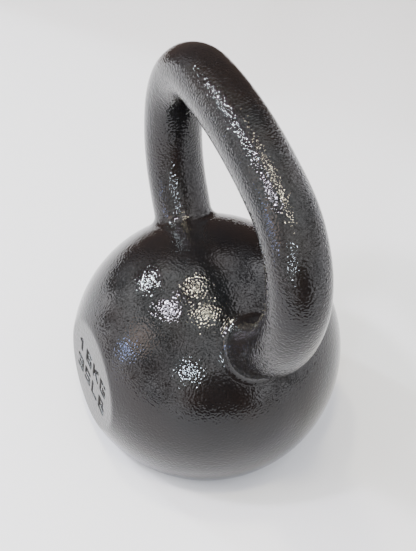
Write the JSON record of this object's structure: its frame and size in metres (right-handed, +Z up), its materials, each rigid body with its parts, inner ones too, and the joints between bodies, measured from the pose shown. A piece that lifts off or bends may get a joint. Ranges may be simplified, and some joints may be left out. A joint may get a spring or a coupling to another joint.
{
  "type": "kettlebell",
  "caption": "Cast-iron kettlebell: a ball with a flat base and two flat faces under a closed loop handle, coated in textured black enamel.",
  "frame": {"origin": "centre of the base, on the ground", "axes": "+Z up through the ball and the grip; the handle lies in the XZ plane; the marked flat faces -Y"},
  "size_m": [0.1992, 0.1456, 0.2375],
  "materials": {
    "iron": "as cast, ground flat at the base",
    "enamel": "glossy black baked enamel with an orange-peel texture"
  },
  "bodies": {
    "root": {"ball": "iron", "handle": "iron", "left_root": "iron", "right_root": "iron", "ball_enamel": "enamel", "handle_enamel": "enamel", "left_root_enamel": "enamel", "right_root_enamel": "enamel"}
  },
  "joints": []
}
